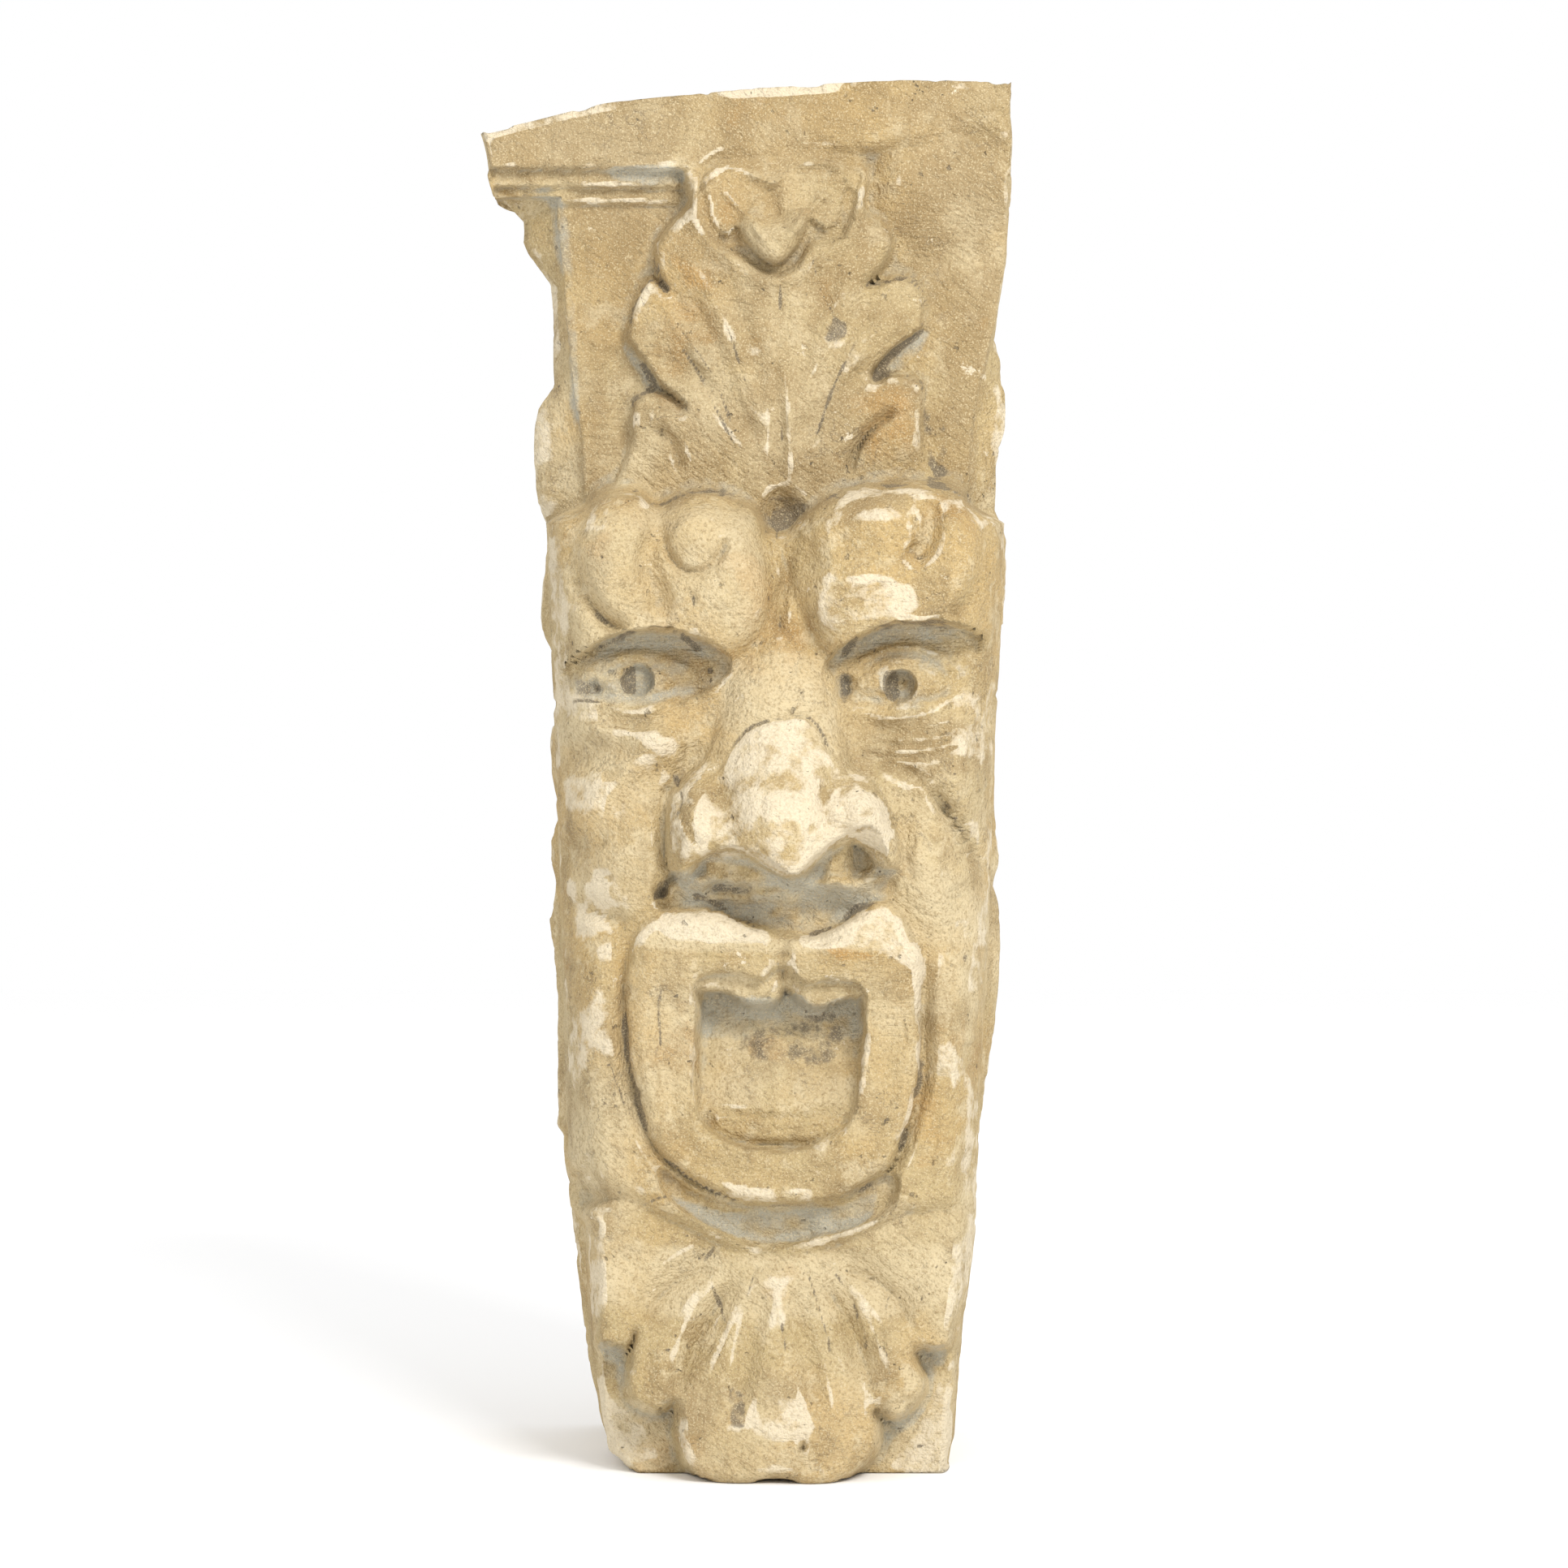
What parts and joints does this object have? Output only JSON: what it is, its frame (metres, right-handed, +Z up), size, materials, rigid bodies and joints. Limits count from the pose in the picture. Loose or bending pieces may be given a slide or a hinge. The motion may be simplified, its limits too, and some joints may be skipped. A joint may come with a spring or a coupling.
{
  "type": "keystone with mask",
  "caption": "Tapered limestone keystone carved with a shouting foliate mask, a crown leaf above, a leaf beard below and a moulded cap, with a plain built-in tail.",
  "frame": {"origin": "on the foot of the block, under the middle of the mask, in the plane of the block's plain front", "axes": "+Z up the block, +Y into the wall, so the mask looks along -Y; +X to the viewer's right"},
  "size_m": [0.3062, 0.2907, 0.7968],
  "materials": {
    "limestone": "weathered buff limestone with pale plaster patches, grey dirt in the hollows, ochre stains and fine tool marks"
  },
  "bodies": {
    "root": {"keystone": "limestone"}
  },
  "joints": []
}
